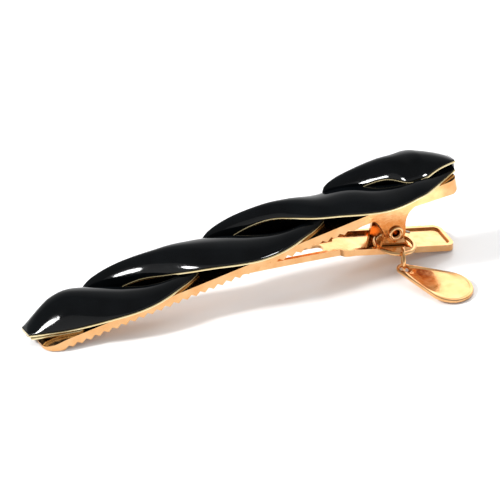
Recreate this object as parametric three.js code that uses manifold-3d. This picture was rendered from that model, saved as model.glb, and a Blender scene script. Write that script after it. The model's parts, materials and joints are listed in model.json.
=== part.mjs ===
// Alligator hair clip with a two-strand twist ornament, millimetres, +Z up.
// +X runs from the jaw tip to the thumb levers, -Y is the side that the charm hangs on.
// It is modelled from the jaw tip on a table at z = 0, and the group is then moved so that
// the origin is the bottom centre of the whole clip's box.
import * as THREE from 'three';
import Module from 'manifold-3d';
import { mergeVertices } from 'three/addons/utils/BufferGeometryUtils.js';

const wasm = await Module();
wasm.setup();

// ---- driving dimensions ----
const SHEET = 0.7;                 // thickness of the stamped sheet
const GAP = 0.3;                   // clearance between neighbouring pieces
const JAW_WIDTH = 8.2;
const JAW_TILT = THREE.MathUtils.degToRad(9.7);
const FLANGE = 2.3;                // height of the upper jaw's channel
const TOOTH_PITCH = 1.968;
const TOOTH_DEPTH = 0.75;
const TOOTH_COUNT = 33;
const TEETH_START_X = 2.4;         // where the line of tooth tips meets the table
const TIP_LENGTH = 3.65;           // jaw tip ahead of the first tooth
const JAW_LENGTH = 88.9;           // first tooth to the end of the upper lever
const PIN = {
  x: 75.8, z: 8.0, radius: 1.2, bore: 0.75, head: 1.6, play: 0.1, bodyOver: 0.5, headOver: 0.55,
  headGap: 0.12,
};
const FOOT = { nose: 0.35, front: 0.68, rear: 1.3 };   // heights of the upper jaw's rounded tip
const EAR = {
  radius: 2.3, top: 0.9, x0: 69.1, front: { x: 70.9, z: -0.6 },
  x1: 78.85, rear: { x: 76.3, z: -1.0 }, flare: -0.2,
};
const LOWER_EAR = { radius: 2.0, foot: 2.8, footRise: 0.5, footDrop: 0.55 };
const FLOOR_START_X = 0.6;
const FLOOR_BEND_X = 38;           // the lower jaw leaves the upper one here
const ARCH_TOP = { x: 42, z: 6.85 };                   // control point of its arch
const REAR_START_X = 63.8;         // the lower jaw widens to the full width here
const REAR_REF = { x: 66.4, z: 5.0 };
const REAR_SLOPE = -0.2174;
const LEVER_END_X = 89.4;
const WALL = 1.45;                 // height of the lower jaw's side walls
const TRAY_END_X = 79.4;           // the rear floor is open from the bend to here
const WELL = { x0: 80.3, border: 0.8, deep: 1.0 };     // sunk panel on the lever
const TALL = 12;                   // higher than any piece, for cutting plans
const SLOT = { x0: 40, x1: 61.5, width: 2.4 };
const COIL = {
  radius: 1.62, wire: 0.5, turns: 3.29, halfWidth: 1.5, startAngle: 2.178,
  upperLeg: { x: 82.6, z: 14.3 }, lowerLeg: { x: 81.6, z: 3.2 },
};
const TWIST = {
  x0: -3.27, z0: 1.25, length: 95.1, halfPitch: 28.3, firstOver: 12,
  overFrom: 26, overTo: 2.3, strip: 0.35, gap: 0.15, inset: 0.22, bed: 0.14, lip: 0.2,
  floor: 0.2, endTaper: 11, stations: 46, facets: 6, splits: 3,
};
// One strand over a full turn of the twist. At 0 degrees it passes over the other strand, at
// 90 it bulges on the near side, at 180 it passes under, at -90 it bulges on the far side.
const PROFILE = [
  // phase, near edge, far edge, near lift, far lift, crest
  [-180, 0.8, 4.2, 0.8, 0.3, 1.7],
  [-165, 2.6, 5.1, 2.2, 0.3, 5.2],
  [-150, 2.4, 5.4, 3.4, 0.3, 6.5],
  [-120, 1.2, 5.6, 4.2, 0.3, 7.2],
  [-90, 0.0, 5.7, 4.2, 0.3, 7.5],
  [-60, -1.3, 5.6, 3.8, 0.5, 7.4],
  [-30, -2.8, 5.2, 3.1, 1.0, 7.2],
  [0, -4.2, 4.6, 2.4, 1.8, 6.8],
  [30, -5.1, 3.4, 1.5, 2.4, 6.2],
  [60, -5.5, 2.2, 0.7, 2.6, 5.5],
  [90, -5.1, 1.0, 0.3, 2.4, 4.9],
  [120, -3.9, 0.3, 0.3, 1.8, 4.0],
  [150, -2.0, 1.4, 0.3, 0.8, 2.6],
];
const NEAR = 1, FAR = 2, NEAR_LIFT = 3, FAR_LIFT = 4, CREST = 5;
const BIG_RING = { x: 75.8, y: -3.7, z: 5.1, outer: 4.5, wire: 0.45, tilt: 0.175 };
const SMALL_RING = { outer: 2.5, wire: 0.35, slack: 0.05, turn: 0.35 };
const CHARM = {
  reach: 10.4, big: 4.8, small: 1.55, hole: 0.95, thick: 0.8,
  z: 2.5, droop: 0.1388, turn: -0.89,
};

// ---- shape helpers ----
function toSolid(geometry) {
  geometry.deleteAttribute('normal');
  geometry.deleteAttribute('uv');
  const merged = mergeVertices(geometry, 1e-4);
  const mesh = new wasm.Mesh({
    numProp: 3,
    vertProperties: new Float32Array(merged.attributes.position.array),
    triVerts: new Uint32Array(merged.index.array),
  });
  return new wasm.Manifold(mesh);
}

function toGeometry(solid) {
  const mesh = solid.getMesh();
  const geometry = new THREE.BufferGeometry();
  geometry.setAttribute('position', new THREE.BufferAttribute(mesh.vertProperties, 3));
  geometry.setIndex(new THREE.BufferAttribute(mesh.triVerts, 1));
  geometry.computeVertexNormals();
  return geometry;
}

function outline(points) {
  return new THREE.Shape(points.map(([a, b]) => new THREE.Vector2(a, b)));
}

// Extrudes a side outline (x, z) across the width from y0 to y1.
function sideSolid(shape, y0, y1, segments = 12) {
  const options = { depth: y1 - y0, bevelEnabled: false, curveSegments: segments };
  const geometry = new THREE.ExtrudeGeometry(shape, options);
  geometry.rotateX(Math.PI / 2);
  geometry.translate(0, y1, 0);
  return toSolid(geometry);
}

// Extrudes a plan outline (x, y) upwards from z0 to z1.
function planSolid(shape, z0, z1, segments = 8) {
  const options = { depth: z1 - z0, bevelEnabled: false, curveSegments: segments };
  const geometry = new THREE.ExtrudeGeometry(shape, options);
  geometry.translate(0, 0, z0);
  return toSolid(geometry);
}

function roundedPlan(x0, x1, halfWidth, r0, r1) {
  const shape = new THREE.Shape();
  shape.moveTo(x0 + r0, -halfWidth);
  shape.lineTo(x1 - r1, -halfWidth);
  shape.absarc(x1 - r1, -halfWidth + r1, r1, -Math.PI / 2, 0);
  shape.lineTo(x1, halfWidth - r1);
  shape.absarc(x1 - r1, halfWidth - r1, r1, 0, Math.PI / 2);
  shape.lineTo(x0 + r0, halfWidth);
  shape.absarc(x0 + r0, halfWidth - r0, r0, Math.PI / 2, Math.PI);
  shape.lineTo(x0, -halfWidth + r0);
  shape.absarc(x0 + r0, -halfWidth + r0, r0, Math.PI, 1.5 * Math.PI);
  return shape;
}

// A round bar across the clip, for pins and the holes they run in.
function crossBar(x, z, radius, y0, y1, sides = 20) {
  const geometry = new THREE.CylinderGeometry(radius, radius, y1 - y0, sides);
  geometry.translate(x, (y0 + y1) / 2, z);
  return toSolid(geometry.toNonIndexed());
}

function part(name, geometry, color, roughness = 0.2) {
  const material = new THREE.MeshStandardMaterial({ color, roughness, metalness: 1 });
  const mesh = new THREE.Mesh(geometry, material);
  mesh.name = name;
  return mesh;
}

const GOLD = 0xd8a566;
const PALE_GOLD = 0xe6d79a;
const BLACK = 0x0a0c0e;

// ---- upper jaw, in its own frame along the tooth line ----
const cosTilt = Math.cos(JAW_TILT);
const sinTilt = Math.sin(JAW_TILT);

function toJawFrame(x, z) {
  const dx = x - TEETH_START_X;
  return { x: dx * cosTilt + z * sinTilt, z: z * cosTilt - dx * sinTilt };
}

const JAW_PIN = toJawFrame(PIN.x, PIN.z);

function upperJawSide() {
  const points = [[-TIP_LENGTH, FOOT.front], [-0.9, FOOT.nose]];
  for (let i = 0; i < TOOTH_COUNT; i++) {
    const x = i * TOOTH_PITCH;
    points.push([x, 0], [x + TOOTH_PITCH / 2, TOOTH_DEPTH]);
  }
  const teethEnd = TOOTH_COUNT * TOOTH_PITCH;
  points.push([teethEnd, 0.05], [teethEnd + 2, 0.3], [78, 0.1], [79, -0.2]);
  points.push([JAW_LENGTH - 1.4, -0.95], [JAW_LENGTH - 0.3, -0.5], [JAW_LENGTH, 0.3]);
  points.push([JAW_LENGTH, FLANGE]);
  points.push([0.6, FLANGE], [-1.2, 2.1], [-2.7, 1.75], [-TIP_LENGTH, FOOT.rear]);
  return outline(points);
}

function upperEar() {
  const shape = new THREE.Shape();
  shape.moveTo(EAR.x1, EAR.top);
  shape.lineTo(EAR.x0, EAR.top);
  shape.quadraticCurveTo(EAR.front.x, EAR.front.z, JAW_PIN.x - EAR.radius, JAW_PIN.z);
  shape.absarc(JAW_PIN.x, JAW_PIN.z, EAR.radius, Math.PI, 2 * Math.PI);
  shape.quadraticCurveTo(EAR.rear.x, EAR.rear.z, EAR.x1, EAR.flare);
  return shape;
}

function upperJaw() {
  const half = JAW_WIDTH / 2;
  const inner = half - SHEET;
  const plan = planSolid(roundedPlan(-TIP_LENGTH, JAW_LENGTH, half, 3.0, 1.6), -1, FLANGE + 1);
  const under = outline([
    [-2.6, -1], [JAW_LENGTH - SHEET, -1], [JAW_LENGTH - SHEET, FLANGE - SHEET],
    [0.4, FLANGE - SHEET], [-1.0, FLANGE - SHEET - 0.2], [-2.6, 1.0],
  ]);
  let jaw = sideSolid(upperJawSide(), -half, half).intersect(plan);
  jaw = jaw.subtract(sideSolid(under, -inner, inner));
  jaw = jaw.add(sideSolid(upperEar(), inner, half));
  jaw = jaw.add(sideSolid(upperEar(), -half, -inner));
  jaw = jaw.subtract(crossBar(JAW_PIN.x, JAW_PIN.z, PIN.radius + PIN.play, -half - 1, half + 1));
  return part('upper_jaw', toGeometry(jaw), GOLD);
}

// ---- lower jaw ----
const bendStart = new THREE.Vector2(FLOOR_BEND_X, toothLine(FLOOR_BEND_X) + 0.5);
const rearRef = new THREE.Vector2(REAR_REF.x, REAR_REF.z);

function toothLine(x) {
  return (x - TEETH_START_X) * Math.tan(JAW_TILT);
}

const LEVER_END_Z = REAR_REF.z + REAR_SLOPE * (LEVER_END_X - REAR_REF.x);
// Underside of the arch: along the upper jaw, round the bend, then down to the rear plate.
const archTop = new THREE.Vector2(ARCH_TOP.x, ARCH_TOP.z);
const arch = new THREE.QuadraticBezierCurve(bendStart, archTop, rearRef);

function floorPoints(steps = 14) {
  const start = [FLOOR_START_X, Math.max(0.12, toothLine(FLOOR_START_X) + 0.5)];
  const bend = arch.getPoints(steps).map((p) => [p.x, p.y]);
  return [start, ...bend, [LEVER_END_X, LEVER_END_Z]];
}

function floorHeight(x) {
  const points = floorPoints();
  const i = Math.max(1, points.findIndex((p) => p[0] >= x));
  const [x0, z0] = points[i - 1];
  const [x1, z1] = points[i];
  return z0 + (z1 - z0) * (x - x0) / (x1 - x0);
}

// Side outline between x0 and x1, from `low` to `high` above the underside of the floor.
function band(x0, x1, low, high, steps = 16) {
  const bottom = [];
  const top = [];
  for (let i = 0; i <= steps; i++) {
    const x = x0 + (x1 - x0) * i / steps;
    bottom.push([x, floorHeight(x) + low]);
    top.push([x, floorHeight(x) + high(x)]);
  }
  return outline([...bottom, ...top.reverse()]);
}

function wallHeight(x) {
  const room = toothLine(x) + (FLANGE - SHEET) / cosTilt - 0.35 - floorHeight(x);
  return Math.min(WALL, Math.max(SHEET, room));
}

function lowerEar() {
  const shape = new THREE.Shape();
  const base = floorHeight(PIN.x) + SHEET / 2;
  shape.moveTo(PIN.x - LOWER_EAR.foot, base + LOWER_EAR.footRise);
  shape.lineTo(PIN.x + LOWER_EAR.foot, base - LOWER_EAR.footDrop);
  shape.lineTo(PIN.x + LOWER_EAR.radius, PIN.z);
  shape.absarc(PIN.x, PIN.z, LOWER_EAR.radius, 0, Math.PI);
  return shape;
}

// Everything inside a rounded plan, over the whole height.
function planBlock(x0, x1, halfWidth, r0, r1) {
  return planSolid(roundedPlan(x0, x1, halfWidth, r0, r1), -1, TALL);
}

// Everything more than `low` above the underside of the floor, between x0 and x1.
function aboveFloor(x0, x1, low, halfWidth) {
  return sideSolid(band(x0, x1, low, () => TALL), -halfWidth, halfWidth);
}

function lowerFront(halfWidth) {
  const room = halfWidth - SHEET;
  const side = band(FLOOR_START_X, REAR_START_X + 1, 0, wallHeight, 32);
  let front = sideSolid(side, -halfWidth, halfWidth);
  front = front.intersect(planBlock(FLOOR_START_X, REAR_START_X + 6, halfWidth, 2.2, 0.1));
  return front.subtract(aboveFloor(FLOOR_BEND_X - 3, REAR_START_X + 2, SHEET, room));
}

function lowerRear(half) {
  let rear = sideSolid(band(REAR_START_X, LEVER_END_X, 0, () => WALL), -half, half);
  rear = rear.intersect(planBlock(REAR_START_X, LEVER_END_X, half, 1.8, 1.8));
  const tray = planBlock(REAR_START_X + SHEET, TRAY_END_X, half - SHEET, 1.2, 1.2);
  rear = rear.subtract(tray.intersect(aboveFloor(REAR_START_X, WELL.x0 + 2, SHEET, half)));
  const well = planBlock(WELL.x0, LEVER_END_X - WELL.border, half - WELL.border, 1.1, 1.1);
  return rear.subtract(well.intersect(aboveFloor(TRAY_END_X, LEVER_END_X, WELL.deep, half)));
}

function lowerJaw() {
  const half = JAW_WIDTH / 2;
  const narrow = half - SHEET - GAP;
  let jaw = lowerFront(narrow).add(lowerRear(half));
  const opening = planBlock(REAR_START_X - 1, REAR_START_X + 2, narrow - SHEET, 0.1, 0.1);
  const overFloor = aboveFloor(REAR_START_X - 3, REAR_START_X + 4, SHEET, half);
  jaw = jaw.subtract(opening.intersect(overFloor));
  jaw = jaw.subtract(planBlock(SLOT.x0, SLOT.x1, SLOT.width / 2, 1.1, 1.1));
  jaw = jaw.add(sideSolid(lowerEar(), narrow - SHEET, narrow));
  jaw = jaw.add(sideSolid(lowerEar(), -narrow, SHEET - narrow));
  jaw = jaw.subtract(crossBar(PIN.x, PIN.z, PIN.radius + PIN.play, -half, half));
  return part('lower_jaw', toGeometry(jaw), GOLD);
}

// ---- hinge pin and spring ----
function hingePin() {
  const half = JAW_WIDTH / 2;
  const inside = half + PIN.headGap;
  const outside = half + PIN.headOver;
  const body = crossBar(0, 0, PIN.radius, -half - PIN.bodyOver, half + PIN.bodyOver, 24);
  const nearHead = crossBar(0, 0, PIN.head, -outside, -inside, 24);
  const heads = nearHead.add(crossBar(0, 0, PIN.head, inside, outside, 24));
  const bore = crossBar(0, 0, PIN.bore, -half - 1, half + 1, 24);
  const pin = part('hinge_pin', toGeometry(body.add(heads).subtract(bore)), GOLD);
  pin.position.set(PIN.x, 0, PIN.z);
  return pin;
}

// Torsion spring: a leg under the upper lever, the coil, and a leg on the lower lever.
function torsionSpring() {
  const point = (angle, y) => new THREE.Vector3(
    PIN.x + COIL.radius * Math.cos(angle), y, PIN.z + COIL.radius * Math.sin(angle));
  const steps = Math.ceil(COIL.turns * 12);
  const points = [new THREE.Vector3(COIL.upperLeg.x, -COIL.halfWidth, COIL.upperLeg.z)];
  for (let i = 0; i <= steps; i++) {
    const angle = COIL.startAngle + COIL.turns * 2 * Math.PI * i / steps;
    points.push(point(angle, COIL.halfWidth * (2 * i / steps - 1)));
  }
  points.push(new THREE.Vector3(COIL.lowerLeg.x, COIL.halfWidth, COIL.lowerLeg.z));
  const path = new THREE.CatmullRomCurve3(points, false, 'centripetal');
  const wire = toSolid(wireAlong(path, COIL.wire / 2, 64, 3));
  return part('torsion_spring', toGeometry(wire), GOLD);
}

function wireAlong(path, radius, steps, sides) {
  const section = new THREE.Shape();
  section.absarc(0, 0, radius, 0, 2 * Math.PI);
  const options = { steps, extrudePath: path, bevelEnabled: false, curveSegments: sides };
  return new THREE.ExtrudeGeometry(section, options);
}

// ---- twist ornament ----
function smoothStep(value) {
  return THREE.MathUtils.smoothstep(value, 0, 1);
}

function bump(u, centre, width) {
  return Math.exp(-(((u - centre) / width) ** 2));
}

function knot(index, column) {
  const count = PROFILE.length;
  const row = PROFILE[(index + count) % count];
  return { phase: row[0] + 360 * Math.floor(index / count), value: row[column] };
}

// Smooth periodic curve through one column of the profile.
function profileAt(degrees, column) {
  const phase = THREE.MathUtils.euclideanModulo(degrees + 180, 360) - 180;
  let i = PROFILE.length - 1;
  while (PROFILE[i][0] > phase) i--;
  const [k0, k1, k2, k3] = [i - 1, i, i + 1, i + 2].map((index) => knot(index, column));
  const span = k2.phase - k1.phase;
  const t = (phase - k1.phase) / span;
  const m1 = (k2.value - k0.value) / (k2.phase - k0.phase) * span;
  const m2 = (k3.value - k1.value) / (k3.phase - k1.phase) * span;
  const start = (2 * t ** 3 - 3 * t ** 2 + 1) * k1.value + (t ** 3 - 2 * t ** 2 + t) * m1;
  return start + (3 * t ** 2 - 2 * t ** 3) * k2.value + (t ** 3 - t ** 2) * m2;
}

// Near edge: the strands pinch in at the front end and lean to the near side at the rear.
function nearEdge(u, phase, isOverAtRear) {
  const left = TWIST.length - u;
  let near = profileAt(phase, NEAR);
  if (isOverAtRear) {
    near -= 1.7 * smoothStep((u - 66) / 10) + 1.5 * bump(u, 84, 2.5);
    const apart = smoothStep((u - TWIST.firstOver + 2.5) / 4);
    near = THREE.MathUtils.lerp(profileAt(phase - 180, NEAR), near, apart);
  } else {
    near -= 1.0 * smoothStep((u - 66) / 14);
    if (left < 8) near = Math.min(near, -1.9 - 0.45 * left);
  }
  const rear = isOverAtRear ? -2.1 - 0.15 * left : -1.9 - 0.45 * left;
  return Math.max(near, -1.0 - 0.36 * u, rear);
}

function shapedSection(u, over) {
  const isOverAtRear = over > TWIST.firstOver + 1;
  const phase = 180 * (u - over) / TWIST.halfPitch;
  const left = TWIST.length - u;
  const near = nearEdge(u, phase, isOverAtRear);
  const farLimit = Math.min(4.3 + 0.17 * u, 3.0 + 0.4 * left);
  const far = Math.max(Math.min(profileAt(phase, FAR), farLimit), near + 1.2);
  const settle = 0.22 + 0.78 * smoothStep((u - 4) / 30);
  const nearLift = Math.max(TWIST.floor, profileAt(phase, NEAR_LIFT) * settle);
  const farLift = Math.max(TWIST.floor, profileAt(phase, FAR_LIFT) * settle + 0.6 * (1 - settle));
  let crest = profileAt(phase, CREST);
  crest += isOverAtRear ? 0.6 * bump(u, 34, 5) : -1.3 * bump(u, 67, 5);
  const taper = endTaper(u, 1.1 * TWIST.endTaper, 1.0) * endTaper(left, TWIST.endTaper, 0.9);
  const crown = Math.max(0.12, (crest - (nearLift + farLift) / 2 - 0.6) * taper);
  return { near, far, nearLift, farLift, crown };
}

// The section at u on the faceted strand, between its two nearest stations.
function strandSection(u, over) {
  const step = TWIST.length / TWIST.stations;
  const before = step * Math.floor(u / step);
  const low = shapedSection(before, over);
  const high = shapedSection(before + step, over);
  const mix = (u - before) / step;
  const blend = (key) => low[key] + (high[key] - low[key]) * mix;
  return {
    near: blend('near'), far: blend('far'), crown: blend('crown'),
    nearLift: blend('nearLift'), farLift: blend('farLift'),
  };
}

// The fill runs down to its strip at both ends of the ornament.
function endTaper(distance, run, power) {
  const share = Math.min(1, Math.max(0, distance / run));
  return Math.sin(Math.PI / 2 * share) ** power;
}

// A closed solid of rings round the strand, one ring at each station along it.
function ringSolid(stations, ringAt) {
  const positions = [];
  const indices = [];
  const rings = stations.map(ringAt);
  const size = rings[0].length;
  rings.forEach((ring) => ring.forEach((p) => positions.push(...p)));
  for (let s = 0; s + 1 < rings.length; s++) {
    for (let k = 0; k < size; k++) {
      const a = s * size + k;
      const b = s * size + (k + 1) % size;
      indices.push(a, b + size, b, a, a + size, b + size);
    }
  }
  const last = (rings.length - 1) * size;
  for (let k = 1; k + 1 < size; k++) {
    indices.push(0, k, k + 1);
    indices.push(last, last + k + 1, last + k);
  }
  const geometry = new THREE.BufferGeometry();
  geometry.setAttribute('position', new THREE.Float32BufferAttribute(positions, 3));
  geometry.setIndex(indices);
  return toSolid(geometry);
}

// x0, x1 and every station of the faceted strand between them.
function stationsBetween(x0, x1) {
  const step = TWIST.length / TWIST.stations;
  const inner = Array.from({ length: TWIST.stations + 1 }, (_, i) => i * step);
  return [x0, ...inner.filter((u) => u > x0 + 0.1 && u < x1 - 0.1), x1];
}

// Points across a strand, from t = t0 to t1 of its width, `above` its ruled sheet.
function acrossSheet(u, section, t0, t1, above) {
  return Array.from({ length: TWIST.splits + 1 }, (_, k) => {
    const t = t0 + (t1 - t0) * k / TWIST.splits;
    const y = section.near + (section.far - section.near) * t;
    return [u, y, section.nearLift + (section.farLift - section.nearLift) * t + above];
  });
}

// Gold strip under the strand: a ruled sheet between its two lifted edges.
function stripRing(over, grow, drop, top) {
  return (u) => {
    const section = strandSection(u, over);
    const edge = grow / (section.far - section.near);
    const upper = acrossSheet(u, section, -edge, 1 + edge, top);
    return [...upper, ...acrossSheet(u, section, 1 + edge, -edge, -drop)];
  };
}

// Domed fill on top of the strip, a little narrower so that the strip's edge shows.
function fillRing(over) {
  return (u) => {
    const section = strandSection(u, over);
    const width = section.far - section.near;
    const edge = TWIST.inset / width;
    const base = TWIST.strip + TWIST.bed;
    const ring = [];
    for (let k = 0; k <= TWIST.facets; k++) {
      const t = 0.5 - 0.5 * Math.cos(Math.PI * k / TWIST.facets);
      const across = edge + (1 - 2 * edge) * t;
      const dome = Math.pow(1 - Math.pow(Math.abs(2 * t - 1), 2.3), 0.6);
      const lift = section.nearLift + (section.farLift - section.nearLift) * across;
      const height = lift + base + TWIST.lip + section.crown * dome;
      ring.push([u, section.near + width * across, height]);
    }
    return [...ring, ...acrossSheet(u, section, 1 - edge, edge, base)];
  };
}

// Room that the other strand must leave where this one lies on top.
function overRoom(over) {
  let room = null;
  for (const centre of [over - 2 * TWIST.halfPitch, over, over + 2 * TWIST.halfPitch]) {
    const x0 = Math.max(-0.5, centre - TWIST.overFrom - TWIST.gap);
    const x1 = Math.min(TWIST.length + 0.5, centre + TWIST.overTo + TWIST.gap);
    if (x1 - x0 < 1) continue;
    const stations = stationsBetween(x0, x1);
    const block = ringSolid(stations, stripRing(over, TWIST.gap, TWIST.gap, 9));
    room = room ? room.add(block) : block;
  }
  return room;
}

function largestPiece(solid) {
  const pieces = solid.decompose();
  return pieces.reduce((best, piece) => (piece.volume() > best.volume() ? piece : best));
}

function strand(name, over, otherOver, x0, x1) {
  const stations = stationsBetween(x0, x1);
  const room = overRoom(otherOver);
  const strip = ringSolid(stations, stripRing(over, 0, 0, TWIST.strip)).subtract(room);
  const fill = ringSolid(stations, fillRing(over)).subtract(room);
  return [
    part(`${name}_backing`, toGeometry(largestPiece(strip)), PALE_GOLD),
    part(`${name}_enamel`, toGeometry(largestPiece(fill)), BLACK, 0.05),
  ];
}

// ---- rings and charm ----
function jumpRing(name, outer, wire, sides = 8, steps = 28) {
  const geometry = new THREE.TorusGeometry(outer - wire, wire, sides, steps);
  return part(name, toGeometry(toSolid(geometry)), GOLD);
}

function charmShape() {
  const shape = new THREE.Shape();
  const lean = Math.asin((CHARM.big - CHARM.small) / CHARM.reach);
  shape.absarc(CHARM.reach, 0, CHARM.big, -Math.PI / 2 - lean, Math.PI / 2 + lean);
  shape.absarc(0, 0, CHARM.small, Math.PI / 2 + lean, 1.5 * Math.PI - lean);
  const hole = new THREE.Path();
  hole.absarc(0, 0, CHARM.hole, 0, 2 * Math.PI);
  shape.holes.push(hole);
  return shape;
}

function charm() {
  const solid = planSolid(charmShape(), -CHARM.thick / 2, CHARM.thick / 2, 14);
  return part('charm', toGeometry(solid), GOLD);
}

// ---- assembly ----
const clip = new THREE.Group();
clip.add(lowerJaw(), hingePin(), torsionSpring());

const upper = new THREE.Group();
upper.position.set(TEETH_START_X, 0, 0);
upper.rotation.y = -JAW_TILT;
upper.add(upperJaw());
clip.add(upper);

const twist = new THREE.Group();
twist.position.set(TWIST.x0, 0, TWIST.z0);
twist.rotation.y = -JAW_TILT;
const overA = TWIST.firstOver;
const overB = TWIST.firstOver + TWIST.halfPitch;
twist.add(...strand('strand_a', overA, overB, 0, TWIST.length - 0.3));
twist.add(...strand('strand_b', overB, overA, 0.3, TWIST.length));
clip.add(twist);

const bigRing = jumpRing('large_jump_ring', BIG_RING.outer, BIG_RING.wire);
bigRing.position.set(BIG_RING.x, BIG_RING.y, BIG_RING.z);
bigRing.rotation.y = BIG_RING.tilt;
clip.add(bigRing);

// The small ring hangs from the big ring's near side, and the charm's hole is on its wire.
const smallRing = jumpRing('small_jump_ring', SMALL_RING.outer, SMALL_RING.wire, 6, 24);
const hangY = BIG_RING.y - BIG_RING.outer + BIG_RING.wire;
const hangTop = BIG_RING.z + BIG_RING.wire + SMALL_RING.slack;
const smallZ = hangTop - SMALL_RING.outer + 2 * SMALL_RING.wire;
smallRing.rotation.y = Math.PI / 2;
const smallTurned = new THREE.Group();
smallTurned.position.set(BIG_RING.x, hangY, 0);
smallTurned.rotation.z = -SMALL_RING.turn;
smallRing.position.set(0, 0, smallZ);
smallTurned.add(smallRing);
clip.add(smallTurned);

const wireRadius = SMALL_RING.outer - SMALL_RING.wire;
const reach = Math.sqrt(wireRadius ** 2 - (smallZ - CHARM.z) ** 2);
const tag = charm();
tag.position.set(
  BIG_RING.x - reach * Math.sin(SMALL_RING.turn),
  hangY - reach * Math.cos(SMALL_RING.turn),
  CHARM.z);
tag.rotation.set(0, CHARM.droop, CHARM.turn, 'ZYX');
clip.add(tag);

clip.updateMatrixWorld(true);
const box = new THREE.Box3().setFromObject(clip, true);
clip.position.set(-(box.min.x + box.max.x) / 2, -(box.min.y + box.max.y) / 2, -box.min.z);

export default clip;
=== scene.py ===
"""Looks of an alligator hair clip with a two-strand black enamel twist and a charm.

Shapes are worked out in millimetres from the jaw tip (+X to the levers, -Y to the charm's side,
z = 0 on the table) and moved into the row frame by the place of the jaw hinge.
"""
import json
import math

import bmesh
import bpy
from mathutils import Matrix, Vector


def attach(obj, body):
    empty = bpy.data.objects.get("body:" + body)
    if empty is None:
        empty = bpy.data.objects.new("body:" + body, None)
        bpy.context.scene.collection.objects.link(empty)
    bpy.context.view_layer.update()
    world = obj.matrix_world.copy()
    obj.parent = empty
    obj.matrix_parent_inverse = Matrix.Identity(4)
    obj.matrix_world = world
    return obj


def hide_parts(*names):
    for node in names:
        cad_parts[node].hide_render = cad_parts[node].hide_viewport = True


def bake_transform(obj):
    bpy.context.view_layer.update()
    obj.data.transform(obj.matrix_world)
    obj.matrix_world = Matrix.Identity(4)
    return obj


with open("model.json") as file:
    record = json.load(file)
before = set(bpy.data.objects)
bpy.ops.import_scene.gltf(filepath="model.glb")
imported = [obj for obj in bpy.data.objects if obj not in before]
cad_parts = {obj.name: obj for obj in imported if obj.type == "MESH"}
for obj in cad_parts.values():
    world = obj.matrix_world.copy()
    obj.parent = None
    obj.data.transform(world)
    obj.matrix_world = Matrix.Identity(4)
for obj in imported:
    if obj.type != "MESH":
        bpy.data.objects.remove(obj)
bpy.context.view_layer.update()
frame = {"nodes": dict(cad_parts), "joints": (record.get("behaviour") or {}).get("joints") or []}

MM = 0.001
JOINTS = {joint["name"]: joint for joint in frame["joints"]}
PIN_X, PIN_Z = 75.8, 8.0             # the hinge axis, from the jaw tip and the table
ORIGIN = Vector(JOINTS["jaw_hinge"]["pos_m"]) - Vector((PIN_X, 0, PIN_Z)) * MM
JAW_TILT = math.radians(9.7)         # slope of the closed upper jaw


def place(point):
    """A point in millimetres from the jaw tip, in the row frame."""
    return ORIGIN + Vector(point) * MM


# ---- camera ----
CAMERA_AIM = (45.3, 0.0, 9.83)
CAMERA_AZIMUTH, CAMERA_ELEVATION = math.radians(-25), math.radians(33)
CAMERA_DISTANCE = 4.0                # far away with a long lens, so nearly orthographic
CAMERA_LENS = 1430
CAMERA_CLIP = (0.01, 20)


def direction(azimuth, elevation):
    """Unit vector towards a viewer at that azimuth and elevation, in radians."""
    flat = math.cos(elevation)
    return Vector((math.sin(azimuth) * flat, -math.cos(azimuth) * flat, math.sin(elevation)))


def add_camera():
    data = bpy.data.cameras.new("photo_camera")
    data.lens = CAMERA_LENS
    data.clip_start, data.clip_end = CAMERA_CLIP
    camera = bpy.data.objects.new("photo_camera", data)
    back = direction(CAMERA_AZIMUTH, CAMERA_ELEVATION)
    camera.location = place(CAMERA_AIM) + back * CAMERA_DISTANCE
    camera.rotation_euler = (-back).to_track_quat("-Z", "Y").to_euler()
    bpy.context.collection.objects.link(camera)
    bpy.context.scene.camera = camera


# ---- materials ----
NOISE_RANGE = (0.3, 0.7)             # where nearly all of a noise texture's values lie


def new_material(name, base, metallic, roughness, **constants):
    material = bpy.data.materials.new(name)
    material.use_nodes = True
    nodes = material.node_tree.nodes
    shader = nodes["Principled BSDF"]
    shader.inputs["Base Color"].default_value = (*base, 1)
    shader.inputs["Metallic"].default_value = metallic
    shader.inputs["Roughness"].default_value = roughness
    for key, value in constants.items():     # names with _ for the spaces in the socket's name
        shader.inputs[key.replace("_", " ")].default_value = value
    return material, shader


def noise_node(material, scale, detail=3.0, stretch=(1, 1, 1)):
    """Noise over the piece's own coordinates, features about 1/scale metres across."""
    nodes, links = material.node_tree.nodes, material.node_tree.links
    coordinates = nodes.new("ShaderNodeTexCoord")
    mapping = nodes.new("ShaderNodeMapping")
    mapping.inputs["Scale"].default_value = stretch
    texture = nodes.new("ShaderNodeTexNoise")
    texture.inputs["Scale"].default_value = scale
    texture.inputs["Detail"].default_value = detail
    links.new(coordinates.outputs["Object"], mapping.inputs["Vector"])
    links.new(mapping.outputs["Vector"], texture.inputs["Vector"])
    return texture


def ramp_between(material, factor, low, high):
    """Colours low to high over a noise socket."""
    nodes, links = material.node_tree.nodes, material.node_tree.links
    ramp = nodes.new("ShaderNodeValToRGB")
    for stop, position, colour in zip(ramp.color_ramp.elements, NOISE_RANGE, (low, high)):
        stop.position = position
        stop.color = (*colour, 1)
    links.new(factor, ramp.inputs["Fac"])
    return ramp.outputs["Color"]


def range_of(material, factor, low, high):
    """A number from low to high over a noise socket."""
    nodes, links = material.node_tree.nodes, material.node_tree.links
    node = nodes.new("ShaderNodeMapRange")
    node.inputs["From Min"].default_value, node.inputs["From Max"].default_value = NOISE_RANGE
    node.inputs["To Min"].default_value = low
    node.inputs["To Max"].default_value = high
    links.new(factor, node.inputs["Value"])
    return node.outputs["Result"]


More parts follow.
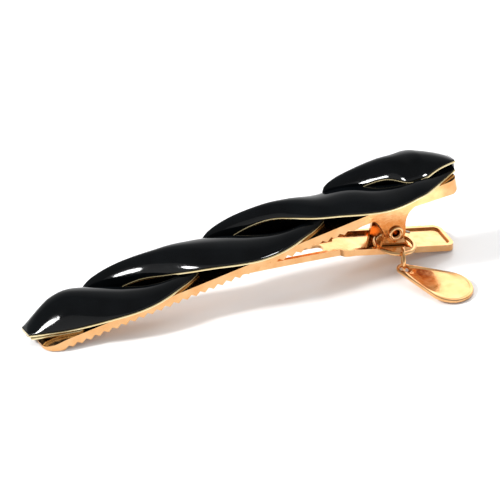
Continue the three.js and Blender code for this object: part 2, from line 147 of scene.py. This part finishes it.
def add_bump(material, shader, height, distance, strength=1.0, below=None):
    """Bump from a height socket, distance metres high, on top of the one below."""
    nodes, links = material.node_tree.nodes, material.node_tree.links
    bump = nodes.new("ShaderNodeBump")
    bump.inputs["Strength"].default_value = strength
    bump.inputs["Distance"].default_value = distance
    links.new(height, bump.inputs["Height"])
    if below is not None:
        links.new(below, bump.inputs["Normal"])
    links.new(bump.outputs["Normal"], shader.inputs["Normal"])
    return bump.outputs["Normal"]


def plated_metal(name, light, deep, smooth, rough, grain=1.0):
    """Polished plating: cloudy colour, drawn scratches along the length and a fine pebble."""
    material, shader = new_material(name, light, 1.0, smooth)
    links = material.node_tree.links
    cloud = noise_node(material, scale=420, detail=4)
    colour = ramp_between(material, cloud.outputs["Fac"], deep, light)
    links.new(colour, shader.inputs["Base Color"])
    patch = noise_node(material, scale=900, detail=5)
    links.new(range_of(material, patch.outputs["Fac"], smooth, rough), shader.inputs["Roughness"])
    scratch = noise_node(material, scale=2600, detail=6, stretch=(0.12, 1, 1))
    scratched = add_bump(material, shader, scratch.outputs["Fac"], distance=0.000006 * grain)
    pebble = noise_node(material, scale=1500, detail=2)
    add_bump(material, shader, pebble.outputs["Fac"], distance=0.000012 * grain, below=scratched)
    return material


def black_enamel():
    """Poured gloss enamel: near black, a slow ripple in its surface and faint haze."""
    dark, darker = (0.003, 0.004, 0.005), (0.001, 0.0015, 0.002)
    material, shader = new_material(
        "black_enamel", dark, 0.0, 0.05, Specular_IOR_Level=0.22, IOR=1.5)
    links = material.node_tree.links
    tint = noise_node(material, scale=160, detail=3)
    colour = ramp_between(material, tint.outputs["Fac"], darker, dark)
    links.new(colour, shader.inputs["Base Color"])
    haze = noise_node(material, scale=700, detail=5)
    links.new(range_of(material, haze.outputs["Fac"], 0.045, 0.1), shader.inputs["Roughness"])
    ripple = noise_node(material, scale=190, detail=2, stretch=(0.6, 1, 1))
    rippled = add_bump(material, shader, ripple.outputs["Fac"], distance=0.00005, strength=0.6)
    peel = noise_node(material, scale=1700, detail=2)
    add_bump(material, shader, peel.outputs["Fac"], distance=0.000003, below=rippled)
    return material


def floor_material():
    material, shader = new_material(
        "pale_floor", (0.86, 0.86, 0.86), 0.0, 0.2, Specular_IOR_Level=0.5)
    links = material.node_tree.links
    grain = noise_node(material, scale=30, detail=2)
    colour = ramp_between(material, grain.outputs["Fac"], (0.85, 0.85, 0.85), (0.87, 0.87, 0.87))
    links.new(colour, shader.inputs["Base Color"])
    return material


# name, light colour, deep colour, least and greatest roughness, strength of the grain
JAW_GOLD = plated_metal("jaw_gold", (0.88, 0.52, 0.25), (0.80, 0.41, 0.16), 0.10, 0.22, 0.6)
PIN_GOLD = plated_metal("pin_gold", (0.90, 0.56, 0.28), (0.84, 0.46, 0.20), 0.08, 0.16)
RING_GOLD = plated_metal("ring_gold", (0.90, 0.55, 0.26), (0.83, 0.44, 0.18), 0.06, 0.14, 0.6)
CHARM_GOLD = plated_metal("charm_gold", (0.89, 0.52, 0.24), (0.82, 0.43, 0.17), 0.09, 0.2)
STRIP_GOLD = plated_metal("strip_gold", (0.95, 0.82, 0.50), (0.90, 0.72, 0.38), 0.12, 0.22)
SPRING_WIRE = plated_metal("spring_wire", (0.60, 0.52, 0.42), (0.48, 0.40, 0.32), 0.2, 0.34)
ENAMEL = black_enamel()


# ---- mesh helpers ----
def add_piece(name, points, faces, material, body, nodes):
    """A smooth mesh from points in millimetres from the jaw tip, in place of CAD nodes.
"""
    mesh = bpy.data.meshes.new(name)
    mesh.from_pydata([place(p) for p in points], [], faces)
    mesh.materials.append(material)
    mesh.polygons.foreach_set("use_smooth", [True] * len(mesh.polygons))
    outward(mesh)
    piece = bpy.data.objects.new(name, mesh)
    bpy.context.collection.objects.link(piece)
    if body:
        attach(piece, body)
    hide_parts(*nodes)
    return piece


def outward(mesh):
    """Turns every face of a closed mesh to the outside."""
    work = bmesh.new()
    work.from_mesh(mesh)
    bmesh.ops.recalc_face_normals(work, faces=work.faces)
    work.to_mesh(mesh)
    work.free()


def rings_to_faces(count, size, closed=False):
    """Quads between rings of `size` points, with flat end caps unless the rings close up."""
    faces = []
    for s in range(count if closed else count - 1):
        a, b = s * size, (s + 1) % count * size
        for k in range(size):
            j = (k + 1) % size
            faces.append((a + k, a + j, b + j, b + k))
    if not closed:
        faces.append(tuple(range(size))[::-1])
        faces.append(tuple(range((count - 1) * size, count * size)))
    return faces


def tube(path, radius, sides):
    """Rings of points round a path, carried along it without twisting."""
    path = [Vector(p) for p in path]
    rings = []
    side = None
    for i, point in enumerate(path):
        ahead = (path[min(i + 1, len(path) - 1)] - path[max(i - 1, 0)]).normalized()
        if side is None:
            side = ahead.orthogonal().normalized()
        side = (side - ahead * side.dot(ahead)).normalized()
        other = ahead.cross(side)
        for k in range(sides):
            angle = 2 * math.pi * k / sides
            rings.append(point + (side * math.cos(angle) + other * math.sin(angle)) * radius)
    return rings, rings_to_faces(len(path), sides)


# ---- twist ornament ----
# Millimetres, in the twist's own axes: u along it, y across it and w above the jaw.
TWIST_X, TWIST_Z = -3.27, 1.25       # its tip, from the jaw tip
LENGTH = 95.1
HALF_PITCH = 28.3                    # from one crossing to the next
FIRST_OVER = 12.0                    # where strand A first lies on top
STRIP = 0.42                         # thickness of the gold sheet
SINK = 0.12                          # how far the strands sit below their profile
BED = 0.05                           # enamel's underside above the sheet
INSET = 0.22                         # enamel's edge in from the sheet's edge
LIP = 0.2                            # upright part of the enamel's edge
LEAST_CROWN = 0.12
LEAST_WIDTH = 1.2
CROWN_BASE = 0.6                     # part of the crest's height that is sheet and lip
END_TAPER, TAPER_POWER = 11, 0.8
LOWEST = 0.2                         # lowest point of a strand above the jaw
OVER_FROM, OVER_TO = 17.0, -2.0      # a strand lies on top from before a crossing to after it
OVER_SOONER = 0.075                  # the crossings start this much sooner for each millimetre
OVER_SOONER_FROM = 40                # beyond here
# One strand over a full turn of the twist. At 0 degrees it passes over the other strand, at
# 90 it bulges on the near side, at 180 it passes under, at -90 it bulges on the far side.
PROFILE = [
    # phase, near edge, far edge, near lift, far lift, crest
    (-180, 0.8, 4.2, 0.8, 0.3, 3.4),
    (-165, 1.4, 5.1, 1.3, 0.3, 5.4),
    (-150, 1.8, 5.5, 2.3, 0.3, 6.4),
    (-120, 1.8, 5.8, 3.6, 0.3, 7.2),
    (-90, 1.0, 5.8, 4.4, 0.3, 7.5),
    (-60, -0.9, 5.6, 3.9, 0.5, 7.4),
    (-30, -2.8, 5.2, 3.1, 1.0, 7.2),
    (0, -4.2, 4.6, 2.4, 1.5, 6.8),
    (30, -5.1, 3.4, 1.5, 1.5, 5.8),
    (60, -5.5, 1.7, 0.7, 1.4, 4.4),
    (90, -5.1, -0.1, 0.3, 1.0, 3.3),
    (120, -3.9, -0.7, 0.3, 0.8, 2.7),
    (150, -2.0, 0.7, 0.3, 0.8, 2.1),
]
NEAR, FAR, NEAR_LIFT, FAR_LIFT, CREST = 1, 2, 3, 4, 5
# Limits on the edges at the two ends: (at the end, change for each millimetre from it).
NEAR_AT_TIP = (-1.0, -0.36)
NEAR_AT_REAR = {True: (-2.1, -0.15), False: (-1.9, -0.45)}   # True: lies on top at the rear
FAR_AT_TIP, FAR_AT_REAR = (4.3, 0.17), (2.3, 0.45)
REAR_BLEND = (11, 4)                 # starts this far from the rear end, takes this long
# Both near edges move out towards the rear: (amount, from, over).
WIDER_AT_REAR = {True: (1.7, 66, 10), False: (1.0, 66, 14)}
# Where one strand differs from the periodic profile: (amount, centre, width).
NEAR_CHANGES = {True: ((1.5, 84, 2.5),), False: ()}
LIFT_CHANGES = {True: ((-1.1, 29, 6.5), (-2.0, 86, 4)), False: ((0.4, 54, 6),)}
CREST_CHANGES = {True: ((0.6, 34, 5), (0.3, 82, 8)),
                 False: ((0.9, 9, 7), (-1.3, 67, 5), (-0.6, 78, 6))}
START_BEFORE, START_OVER = 2.5, 4    # how strand B's near edge parts from strand A's at the tip
TIP_SETTLE, SETTLE_FROM, SETTLE_OVER = 0.22, 4, 30   # the lifts are lower at the tip
TIP_FAR_LIFT = 0.6
# Phases between which a strand rises sooner, each (degrees, over), and by how much.
RISE_AFTER, RISE_BEFORE = (165, 12), (290, 60)
RISE_PER_MM, RISE_FROM, RISE_OVER = 0.45, 14.7, 60.0


def ease(value):
    value = min(1.0, max(0.0, value))
    return value * value * (3 - 2 * value)


def changes_at(u, changes):
    """Sum of smooth local changes at u."""
    return sum(amount * math.exp(-((u - centre) / width) ** 2)
               for amount, centre, width in changes)


def limit_at(distance, limit):
    """Value of an end limit at a distance from that end."""
    at_end, change = limit
    return at_end + change * distance


def knot(index, column):
    """Phase and value of one row of the profile, which repeats each turn."""
    turns, row = divmod(index, len(PROFILE))
    return PROFILE[row][0] + 360 * turns, PROFILE[row][column]


def profile_at(degrees, column):
    """Smooth periodic curve through one column of the profile."""
    phase = (degrees + 180) % 360 - 180
    i = max(k for k, row in enumerate(PROFILE) if row[0] <= phase)
    (p0, v0), (p1, v1), (p2, v2), (p3, v3) = (knot(k, column) for k in (i - 1, i, i + 1, i + 2))
    span = p2 - p1
    t = (phase - p1) / span
    m1 = (v2 - v0) / (p2 - p0) * span
    m2 = (v3 - v1) / (p3 - p1) * span
    start = (2 * t ** 3 - 3 * t ** 2 + 1) * v1 + (t ** 3 - 2 * t ** 2 + t) * m1
    return start + (3 * t ** 2 - 2 * t ** 3) * v2 + (t ** 3 - t ** 2) * m2


def end_taper(distance):
    """Share of the crown's height at a distance from an end of the twist."""
    share = min(1.0, max(0.0, distance / END_TAPER))
    return math.sin(math.pi / 2 * share) ** TAPER_POWER


def near_edge(u, phase, over_at_rear):
    left = LENGTH - u
    rear = limit_at(left, NEAR_AT_REAR[over_at_rear])
    wider, wider_from, wider_over = WIDER_AT_REAR[over_at_rear]
    near = profile_at(phase, NEAR)
    near -= wider * ease((u - wider_from) / wider_over) + changes_at(u, NEAR_CHANGES[over_at_rear])
    if over_at_rear:
        apart = ease((u - FIRST_OVER + START_BEFORE) / START_OVER)
        beside = profile_at(phase - 180, NEAR)
        near = beside + (near - beside) * apart
    else:
        blend_from, blend_over = REAR_BLEND
        near += (min(near, rear) - near) * ease((blend_from - left) / blend_over)
    return max(near, limit_at(u, NEAR_AT_TIP), rear)


def early_rise(u, phase):
    """Degrees by which a strand rises sooner behind the other, more so towards the rear."""
    (after, after_over), (before, before_over) = RISE_AFTER, RISE_BEFORE
    turned = phase % 360
    window = ease((turned - after) / after_over) * ease((before - turned) / before_over)
    return RISE_PER_MM * min(RISE_OVER, max(0.0, u - RISE_FROM)) * window


def section(u, over):
    """Near edge, far edge, their lifts and the crown of a strand at u along the ornament."""
    over_at_rear = over > FIRST_OVER + 1
    phase = 180 * (u - over) / HALF_PITCH
    left = LENGTH - u
    risen = phase + early_rise(u, phase)
    near = near_edge(u, risen, over_at_rear)
    far = min(profile_at(phase, FAR), limit_at(u, FAR_AT_TIP), limit_at(left, FAR_AT_REAR))
    far = max(far, near + LEAST_WIDTH)
    settle = TIP_SETTLE + (1 - TIP_SETTLE) * ease((u - SETTLE_FROM) / SETTLE_OVER)
    near_lift = profile_at(risen, NEAR_LIFT) * settle
    near_lift = max(LOWEST, near_lift + changes_at(u, LIFT_CHANGES[over_at_rear]))
    far_lift = profile_at(phase, FAR_LIFT) * settle + TIP_FAR_LIFT * (1 - settle)
    far_lift = max(LOWEST, far_lift)
    crest = profile_at(risen, CREST) + changes_at(u, CREST_CHANGES[over_at_rear])
    taper = end_taper(u) * end_taper(left)
    crown = max(LEAST_CROWN, (crest - (near_lift + far_lift) / 2 - CROWN_BASE) * taper)
    return near, far, near_lift, far_lift, crown


STEEP = 9.0                          # how fast the room opens beside the other strand's edges
STEEP_ALONG = 0.8                    # and that share of it beyond where it lies on top


def headroom(u, y, other):
    """Height under the other strand where it lies on top, opening steeply beside it."""
    lowest = math.inf
    near, far, near_lift, far_lift, _ = section(u, other)
    across = min(1.0, max(0.0, (y - near) / (far - near)))
    sheet = near_lift + (far_lift - near_lift) * across
    beside = max(0.0, near - y, y - far)
    for centre in (other - 2 * HALF_PITCH, other, other + 2 * HALF_PITCH):
        start = centre - OVER_FROM - OVER_SOONER * max(0.0, centre - OVER_SOONER_FROM)
        beyond = max(0.0, start - u, u - centre - OVER_TO)
        lowest = min(lowest, sheet + STEEP * (beside + STEEP_ALONG * beyond))
    return lowest


def in_twist(u, y, w):
    """Twist coordinates (along, across, above) to millimetres from the jaw tip."""
    along, above = math.cos(JAW_TILT), math.sin(JAW_TILT)
    return (TWIST_X + u * along - w * above, y, TWIST_Z + u * above + w * along)


NEAR_SLOPE, FAR_SLOPE = 0.85, 0.62   # the dome rises more gently on the near side
DOME_POWER = 2.1                     # flatness of the dome's top
ROOM_LEFT = 0.1                      # between the enamel and the other strand's sheet
THINNEST = 0.12                      # least thickness of the enamel
STATIONS = 320
CROWDING = 0.85                      # 0 spaces the stations evenly
ACROSS = 26


def stations(u0, u1):
    """Stations along a strand, closer together at its two ends."""
    for i in range(STATIONS + 1):
        share = i / STATIONS
        yield u0 + (u1 - u0) * (share - CROWDING * math.sin(2 * math.pi * share) / (2 * math.pi))


def enamel_ring(u, over, other):
    """Domed enamel on the sheet, pressed down where the other strand lies on top."""
    near, far, near_lift, far_lift, crown = section(u, over)
    width = far - near
    edge = INSET / width
    top, bottom = [], []
    for k in range(ACROSS + 1):
        t = 0.5 - 0.5 * math.cos(math.pi * k / ACROSS)
        across = edge + (1 - 2 * edge) * t
        y = near + width * across
        base = near_lift + (far_lift - near_lift) * across + STRIP + BED - SINK
        dome = (1 - abs(2 * t - 1) ** DOME_POWER) ** (NEAR_SLOPE if t < 0.5 else FAR_SLOPE)
        room = headroom(u, y, other) - ROOM_LEFT
        top.append(in_twist(u, y, min(base + LIP + crown * dome, room)))
        bottom.append(in_twist(u, y, min(base, room - THINNEST)))
    return top + bottom[::-1]


FILL_FROM = 0.25                     # share of the width that stays hollow, from the near edge
EDGE_STEPS = 5
EDGE_ROUND = 0.12                    # rounding of the sheet's visible edges
STRIP_ROOM_LEFT = 0.25               # between the sheet and the other strand's sheet
STRIP_ACROSS = 10


def strip_outline():
    """(across 0 to 1, offset past that edge, height) round the sheet, near edge first."""
    corner = []
    for k in range(EDGE_STEPS):
        angle = math.pi / 2 * k / (EDGE_STEPS - 1)
        corner.append((EDGE_ROUND * (1 - math.cos(angle)), EDGE_ROUND * (1 - math.sin(angle))))
    top_near = [(0, d, STRIP - e) for d, e in corner]
    top_far = [(1, -d, STRIP - e) for d, e in corner[::-1]]
    bottom_far = [(1, -d, e) for d, e in corner]
    bottom_near = [(0, d, e) for d, e in corner[::-1]]
    middle = [k / STRIP_ACROSS for k in range(1, STRIP_ACROSS)]
    top = top_near + [(t, 0, STRIP) for t in middle] + top_far
    return top + bottom_far + [(t, 0, 0) for t in middle[::-1]] + bottom_near


STRIP_OUTLINE = strip_outline()


def strip_ring(u, over, other):
    """Gold sheet with round edges; enamel fills the hollow below it down to the jaw."""
    near, far, near_lift, far_lift, _ = section(u, over)
    ring = []
    for across, past, height in STRIP_OUTLINE:
        y = near + (far - near) * across + past
        sheet = near_lift + (far_lift - near_lift) * across - SINK
        sheet = min(sheet, headroom(u, y, other) - STRIP - STRIP_ROOM_LEFT)
        filled = FILL_FROM < across < 1 and height == 0
        ring.append(in_twist(u, y, min(sheet, LOWEST) if filled else sheet + height))
    return ring


def strand(name, over, other, u0, u1):
    """Sheet and enamel of one strand, from u0 to u1, with its own and the other's crossing."""
    for kind, ring_at, material, slot in (
            ("backing", strip_ring, STRIP_GOLD, "strip_metal"),
            ("enamel", enamel_ring, ENAMEL, "black_enamel")):
        rings = [ring_at(u, over, other) for u in stations(u0, u1)]
        points = [p for ring in rings for p in ring]
        faces = rings_to_faces(len(rings), len(rings[0]))
        node = f"{name}_{kind}"
        piece = add_piece(f"{node}_poured" if kind == "enamel" else f"{node}_strip",
                          points, faces, material, "upper", [node])
        if kind == "backing":
            blacken_underside(piece, len(rings[0]))


def blacken_underside(piece, size):
    """Enamel on the sheet's underside and on the filling, so gold shows as an edge line."""
    piece.data.materials.append(ENAMEL)
    first = size // 2 + EDGE_STEPS - 1
    for polygon in piece.data.polygons:
        on_side = polygon.index < len(piece.data.polygons) - 2
        if on_side and first <= polygon.index % size < first + STRIP_ACROSS:
            polygon.material_index = 1


# ---- pin, spring, rings and charm ----
def hinge_pin():
    """Hollow rivet with rolled rims, turned round the hinge axis."""
    # Radius and distance from the middle, from the bore out and back under the rim.
    rim = [(0.75, 3.6), (0.76, 4.2), (0.84, 4.48), (0.98, 4.62), (1.16, 4.67), (1.36, 4.65),
           (1.52, 4.56), (1.6, 4.42), (1.57, 4.28), (1.46, 4.18), (1.2, 4.16)]
    loop = rim + [(r, -y) for r, y in reversed(rim)]
    sides = 64
    points = []
    for k in range(sides):
        angle = 2 * math.pi * k / sides
        points += [(PIN_X + r * math.cos(angle), y, PIN_Z + r * math.sin(angle)) for r, y in loop]
    faces = rings_to_faces(sides, len(loop), closed=True)
    add_piece("hinge_rivet", points, faces, PIN_GOLD, "lower", ["hinge_pin"])


def torsion_spring():
    """Coil round the pin with a leg on each lever."""
    radius, half_width, start_angle, turns = 1.62, 1.5, 2.178, 3.29
    wire, sides, smoothings = 0.25, 12, 4
    upper_leg, lower_leg = Vector((82.6, -half_width, 14.3)), Vector((81.6, half_width, 3.2))
    coil = []
    steps = 150
    for i in range(steps + 1):
        angle = start_angle + turns * 2 * math.pi * i / steps
        coil.append(Vector((PIN_X + radius * math.cos(angle), half_width * (2 * i / steps - 1),
                            PIN_Z + radius * math.sin(angle))))
    leg_steps = 24
    path = [upper_leg.lerp(coil[0], i / leg_steps) for i in range(leg_steps)] + coil
    path += [coil[-1].lerp(lower_leg, i / leg_steps) for i in range(1, leg_steps + 1)]
    for _ in range(smoothings):
        inner = [(a + 2 * b + c) / 4 for a, b, c in zip(path, path[1:], path[2:])]
        path = [path[0], *inner, path[-1]]
    points, faces = tube(path, wire, sides)
    spring = add_piece("coil_spring", points, faces, SPRING_WIRE, None,
                       ["torsion_spring"])
    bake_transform(spring)


SEAM_GAP = 0.05


def jump_ring(name, node, body, radius, wire, turned, seam):
    """Round wire bent to a ring, with the fine seam where its ends meet."""
    steps, sides = 120, 20
    gap = SEAM_GAP / radius
    path = []
    for i in range(steps + 1):
        angle = seam + gap / 2 + (2 * math.pi - gap) * i / steps
        path.append(turned @ Vector((radius * math.cos(angle), radius * math.sin(angle), 0)))
    points, faces = tube(path, wire, sides)
    add_piece(name, points, faces, RING_GOLD, body, [node])


# Radii are to the middle of the wire, wires are radii too, and turns are in radians.
BIG_RING = Vector((PIN_X, -3.7, 5.1))
BIG_RADIUS, BIG_WIRE, BIG_TILT, BIG_SEAM = 4.05, 0.45, 0.175, 2.2
SMALL_RADIUS, SMALL_WIRE, SMALL_TURN, SMALL_SEAM = 2.15, 0.35, 0.35, 0.6
SMALL_SLACK = 0.05
HANG = Vector((BIG_RING.x, BIG_RING.y - BIG_RADIUS, 0))
SMALL_Z = BIG_RING.z + BIG_WIRE + SMALL_SLACK - SMALL_RADIUS + SMALL_WIRE
CHARM_Z, CHARM_DROOP, CHARM_TURN = 2.5, 0.1388, -0.89


def add_rings():
    big = Matrix.Translation(BIG_RING) @ Matrix.Rotation(BIG_TILT, 4, "Y")
    jump_ring("big_ring", "large_jump_ring", "large_ring", BIG_RADIUS, BIG_WIRE, big,
              BIG_SEAM)
    small = Matrix.Translation(HANG + Vector((0, 0, SMALL_Z)))
    small = small @ Matrix.Rotation(-SMALL_TURN, 4, "Z") @ Matrix.Rotation(math.pi / 2, 4, "Y")
    jump_ring("small_ring_wire", "small_jump_ring", "small_ring", SMALL_RADIUS, SMALL_WIRE,
              small, SMALL_SEAM)


def teardrop(reach, big, small):
    """Outline points of a plate round two circles, counterclockwise."""
    per_arc, spacing = 72, 0.25
    lean = math.asin((big - small) / reach)
    outline = []
    for centre, radius, start, end in (
            (reach, big, -math.pi / 2 - lean, math.pi / 2 + lean),
            (0, small, math.pi / 2 + lean, 1.5 * math.pi - lean)):
        for k in range(per_arc + 1):
            angle = start + (end - start) * k / per_arc
            outline.append(Vector((centre + radius * math.cos(angle), radius * math.sin(angle))))
    full = []
    for a, b in zip(outline, outline[1:] + outline[:1]):
        pieces = max(1, round((b - a).length / spacing))
        full += [a.lerp(b, k / pieces) for k in range(pieces)]
    return full


def charm():
    """Teardrop tag with a soft rim, a raised border line and a hole for the small ring."""
    reach, big, small, hole, thick = 10.4, 4.8, 1.55, 0.95, 0.8
    outline = teardrop(reach, big, small)
    depths = [0, 0.04, 0.1, 0.18, 0.28, 0.42, 0.55, 0.66, 0.76, 0.88, 1.05, 1.4]
    inner_steps = 14
    most_depth = 0.6                 # of the way to the hole
    rounding = 0.3
    border_height, border_at, border_width = 0.07, 0.72, 0.13
    dish_depth, dish_from, dish_over = 0.16, 0.9, 2.2
    loops = []
    for index in range(len(depths) + inner_steps):
        loop = []
        for point in outline:
            toward = point.normalized() * hole
            span = (point - toward).length
            if index < len(depths):
                depth = min(depths[index], most_depth * span)
            else:
                share = (index - len(depths) + 1) / inner_steps
                first = min(depths[-1], most_depth * span)
                depth = first + (span - first) * share
            spot = point.lerp(toward, depth / span)
            edge = min(depth, span - depth)
            drop = rounding - math.sqrt(max(0.0, rounding ** 2 - max(0.0, rounding - edge) ** 2))
            border = border_height * math.exp(-((depth - border_at) / border_width) ** 2)
            dish = dish_depth * ease((depth - dish_from) / dish_over)
            loop.append((spot, thick / 2 - drop, border - dish))
        loops.append(loop)
    points = []
    for loop in loops:
        points += [(p.x, p.y, z + relief) for p, z, relief in loop]
    for loop in reversed(loops):
        points += [(p.x, p.y, -z) for p, z, _ in loop]
    size = len(outline)
    faces = [face[::-1] for face in rings_to_faces(2 * len(loops), size, closed=True)]
    small_reach = math.sqrt(SMALL_RADIUS ** 2 - (SMALL_Z - CHARM_Z) ** 2)
    spot = Vector((HANG.x - small_reach * math.sin(SMALL_TURN),
                   HANG.y - small_reach * math.cos(SMALL_TURN), CHARM_Z))
    turned = (Matrix.Translation(spot) @ Matrix.Rotation(CHARM_TURN, 4, "Z")
              @ Matrix.Rotation(CHARM_DROOP, 4, "Y"))
    add_piece("teardrop_charm", [turned @ Vector(p) for p in points], faces, CHARM_GOLD,
              "charm", ["charm"])


WELD_GAP = 0.000002                  # metres
FLAT_WITHIN, EDGE_FROM = math.radians(0.6), math.radians(28)
JAW_ROUNDING = 0.00012               # metres


def finish_jaws():
    """The stamped jaws keep their CAD mesh; modifiers round their sheet edges."""
    for node in ("lower_jaw", "upper_jaw"):
        jaw = frame["nodes"][node]
        jaw.data.materials.clear()
        jaw.data.materials.append(JAW_GOLD)
        weld = jaw.modifiers.new("weld", "WELD")
        weld.merge_threshold = WELD_GAP
        planar = jaw.modifiers.new("planar", "DECIMATE")
        planar.decimate_type = "DISSOLVE"
        planar.angle_limit = FLAT_WITHIN
        bevel = jaw.modifiers.new("soft_edges", "BEVEL")
        bevel.width = JAW_ROUNDING
        bevel.segments = 3
        bevel.limit_method = "ANGLE"
        bevel.angle_limit = EDGE_FROM
        bevel.harden_normals = True
        jaw.modifiers.new("normals", "WEIGHTED_NORMAL")


# ---- floor, world and lights ----
FLOOR_DROP = 0.00002                 # metres, so that no face lies in the floor's plane


def add_floor():
    size = 1.6
    mesh = bpy.data.meshes.new("floor")
    corners = [(-size, -size, 0), (size, -size, 0), (size, size, 0), (-size, size, 0)]
    mesh.from_pydata(corners, [], [(0, 1, 2, 3)])
    mesh.materials.append(floor_material())
    floor = bpy.data.objects.new("floor", mesh)
    floor.location.z = -FLOOR_DROP
    bpy.context.collection.objects.link(floor)


# Levels of the surround: (cosine of the angle from its brightest direction, level).
SURROUND = ((0.0, 0.12), (0.6, 0.26), (0.84, 0.40), (0.97, 0.8))
SURROUND_BRIGHTEST = (145, 28)       # azimuth and elevation, degrees
SURROUND_STRENGTH = 2.6


def add_world():
    """Soft studio surround, brighter overhead and behind the clip than in front of it."""
    world = bpy.data.worlds.new("studio")
    bpy.context.scene.world = world
    world.use_nodes = True
    nodes, links = world.node_tree.nodes, world.node_tree.links
    coordinates = nodes.new("ShaderNodeTexCoord")
    lean = nodes.new("ShaderNodeVectorMath")
    lean.operation = "DOT_PRODUCT"
    lean.inputs[1].default_value = direction(*map(math.radians, SURROUND_BRIGHTEST))
    ramp = nodes.new("ShaderNodeValToRGB")
    stops = ramp.color_ramp.elements
    for index, (position, level) in enumerate(SURROUND):
        stop = stops[index] if index < len(stops) else stops.new(position)
        stop.position = position
        stop.color = (level, level, level, 1)
    links.new(coordinates.outputs["Generated"], lean.inputs[0])
    links.new(lean.outputs["Value"], ramp.inputs["Fac"])
    links.new(ramp.outputs["Color"], nodes["Background"].inputs["Color"])
    nodes["Background"].inputs["Strength"].default_value = SURROUND_STRENGTH


def area_light(name, azimuth, elevation, distance, width, height, power, aim=CAMERA_AIM,
               glossy=True):
    """Rectangular light facing aim from that direction; angles in degrees, sizes in metres."""
    data = bpy.data.lights.new(name, "AREA")
    data.shape = "RECTANGLE"
    data.size, data.size_y = width, height
    data.energy = power
    light = bpy.data.objects.new(name, data)
    back = direction(math.radians(azimuth), math.radians(elevation))
    light.location = place(aim) + back * distance
    light.rotation_euler = back.to_track_quat("Z", "Y").to_euler()
    light.visible_camera = False
    light.visible_glossy = glossy
    bpy.context.collection.objects.link(light)
    return light


SOFT_BOXES = (
    # name, azimuth, elevation, distance, width, height, watts
    ("key_left", -105, 38, 0.9, 0.14, 0.14, 9),
    ("fill_front", -25, 28, 0.9, 0.6, 0.4, 2),
    ("fill_top", 0, 88, 0.9, 0.6, 0.6, 1.6),
)
# Small lights close to the clip, for the bright ovals. Each one reaches the enamel of one
# strand only, by light linking, and only as a reflection.
GLINTS = (
    # name, strand, azimuth, elevation, aim, width, height
    ("glint_tip", "strand_a_enamel_poured", -35, 2, (-0.3, -1.5, 4.5), 0.014, 0.008),
    ("glint_middle", "strand_b_enamel_poured", -8, -7, (22.5, 0.9, 10.0), 0.010, 0.006),
    ("glint_rear", "strand_b_enamel_poured", -9, -8, (76.2, 0.3, 18.2), 0.018, 0.008),
)
GLINT_DISTANCE = 0.05
GLINT_FLUX = 260                     # watts per square metre of light
# A small card light close to the ears, for the glow on their near face.
EAR_CARD = ("ear_card", 26, -26, 0.017, 0.016, 0.010, 0.0004)
EAR_CARD_AIM = (77.5, -4.1, 10.5)


def add_glint(name, strand_name, azimuth, elevation, aim, width, height):
    power = GLINT_FLUX * width * height
    light = area_light(name, azimuth, elevation, GLINT_DISTANCE, width, height, power, aim=aim)
    light.data.shape = "ELLIPSE"
    light.visible_diffuse = False
    lit = bpy.data.collections.new(f"{name}_lit")
    lit.objects.link(bpy.data.objects[strand_name])
    light.light_linking.receiver_collection = lit


def add_studio():
    add_floor()
    add_world()
    for box in SOFT_BOXES:
        area_light(*box, glossy=False)
    for glint in GLINTS:
        add_glint(*glint)
    area_light(*EAR_CARD, aim=EAR_CARD_AIM)
    bpy.context.scene.view_settings.view_transform = "Standard"


SECOND_OVER = FIRST_OVER + HALF_PITCH
STAGGER = 0.3                        # so that the two strands' end faces don't coincide

add_camera()
strand("strand_a", FIRST_OVER, SECOND_OVER, 0.0, LENGTH - STAGGER)
strand("strand_b", SECOND_OVER, FIRST_OVER, STAGGER, LENGTH)
hinge_pin()
torsion_spring()
add_rings()
charm()
finish_jaws()
add_studio()
